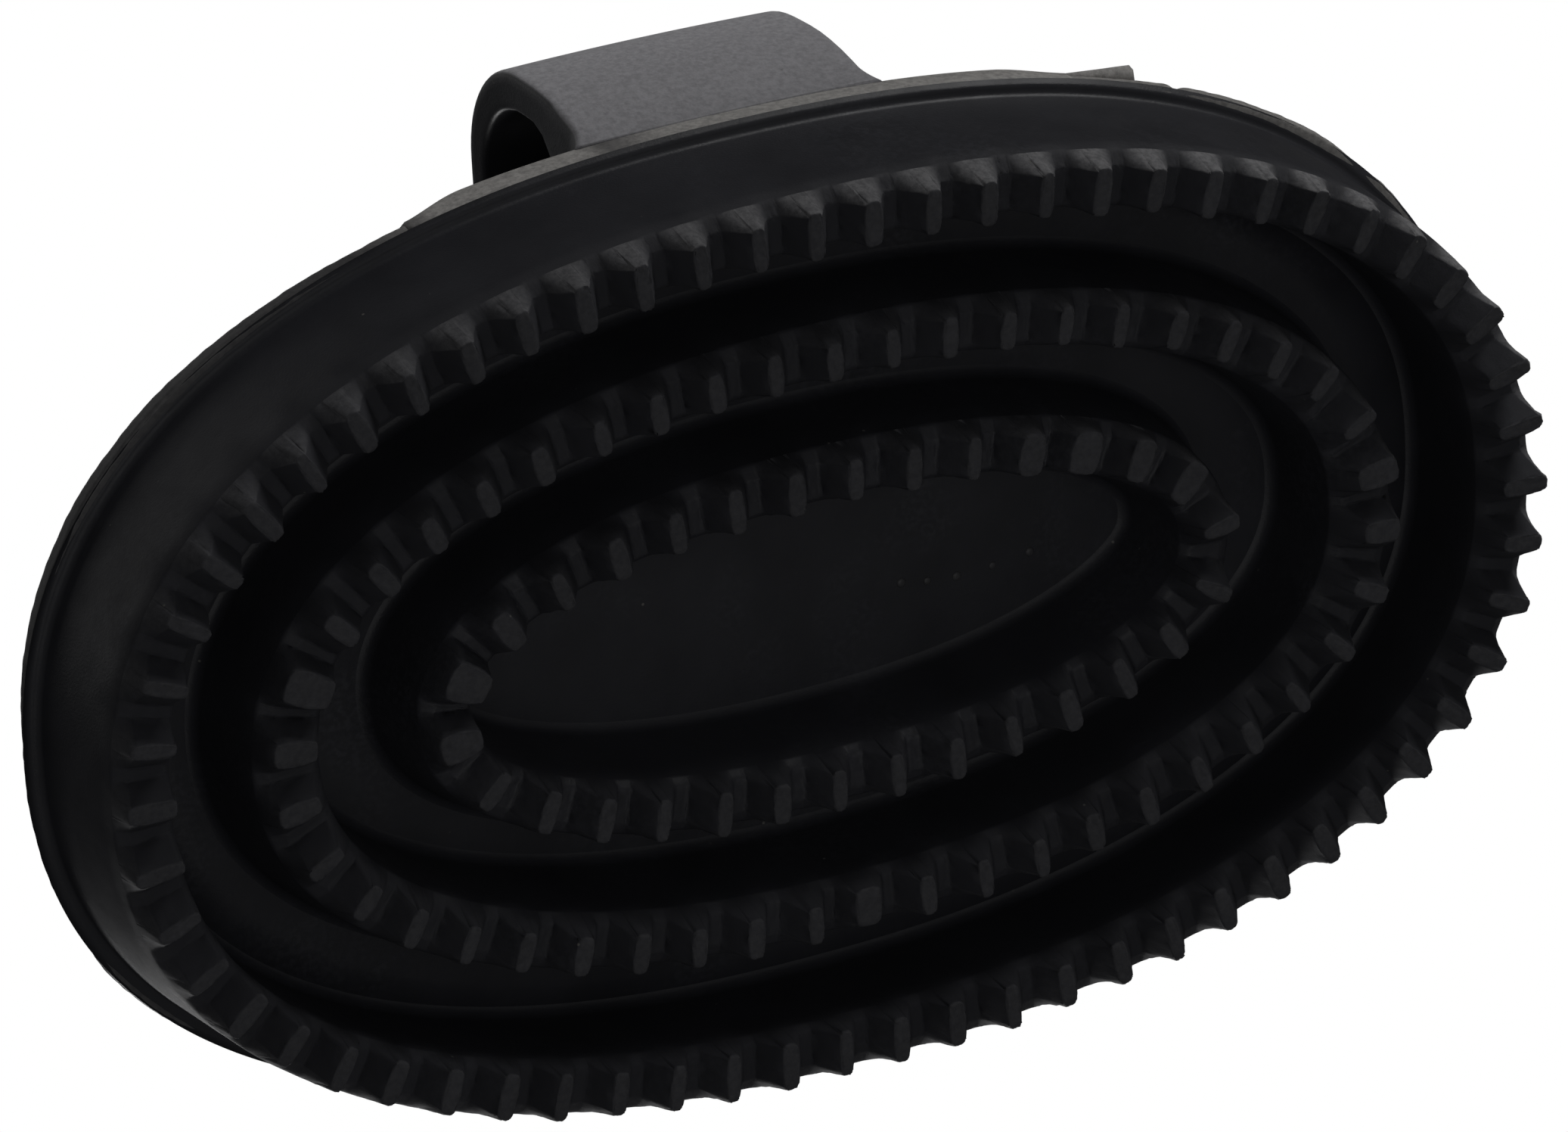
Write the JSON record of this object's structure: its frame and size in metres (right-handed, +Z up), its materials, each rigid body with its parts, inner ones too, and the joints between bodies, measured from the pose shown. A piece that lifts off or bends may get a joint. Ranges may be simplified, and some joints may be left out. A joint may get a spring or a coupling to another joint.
{
  "type": "rubber curry comb",
  "caption": "Oval rubber grooming comb with three concentric toothed ridges round a flat recess, and a moulded hand strap across its back.",
  "frame": {"origin": "middle of the plane that the outer teeth stand on", "axes": "+X along the comb's length, +Y across it, +Z up from the teeth through the strap"},
  "size_m": [0.165, 0.1048, 0.0516],
  "materials": {
    "body_rubber": "satin moulded rubber",
    "tooth_rubber": "dull moulded rubber",
    "strap_rubber": "satin moulded rubber"
  },
  "bodies": {
    "root": {"back_plate": "body_rubber", "valley_floor": "body_rubber", "outer_ridge": "body_rubber", "middle_ridge": "body_rubber", "inner_ridge": "body_rubber", "outer_teeth": "tooth_rubber", "middle_teeth": "tooth_rubber", "inner_teeth": "tooth_rubber", "strap_pad_front": "body_rubber", "strap_pad_rear": "body_rubber", "strap_leg_front": "strap_rubber", "strap_leg_rear": "strap_rubber", "strap_crown": "strap_rubber"}
  },
  "joints": []
}
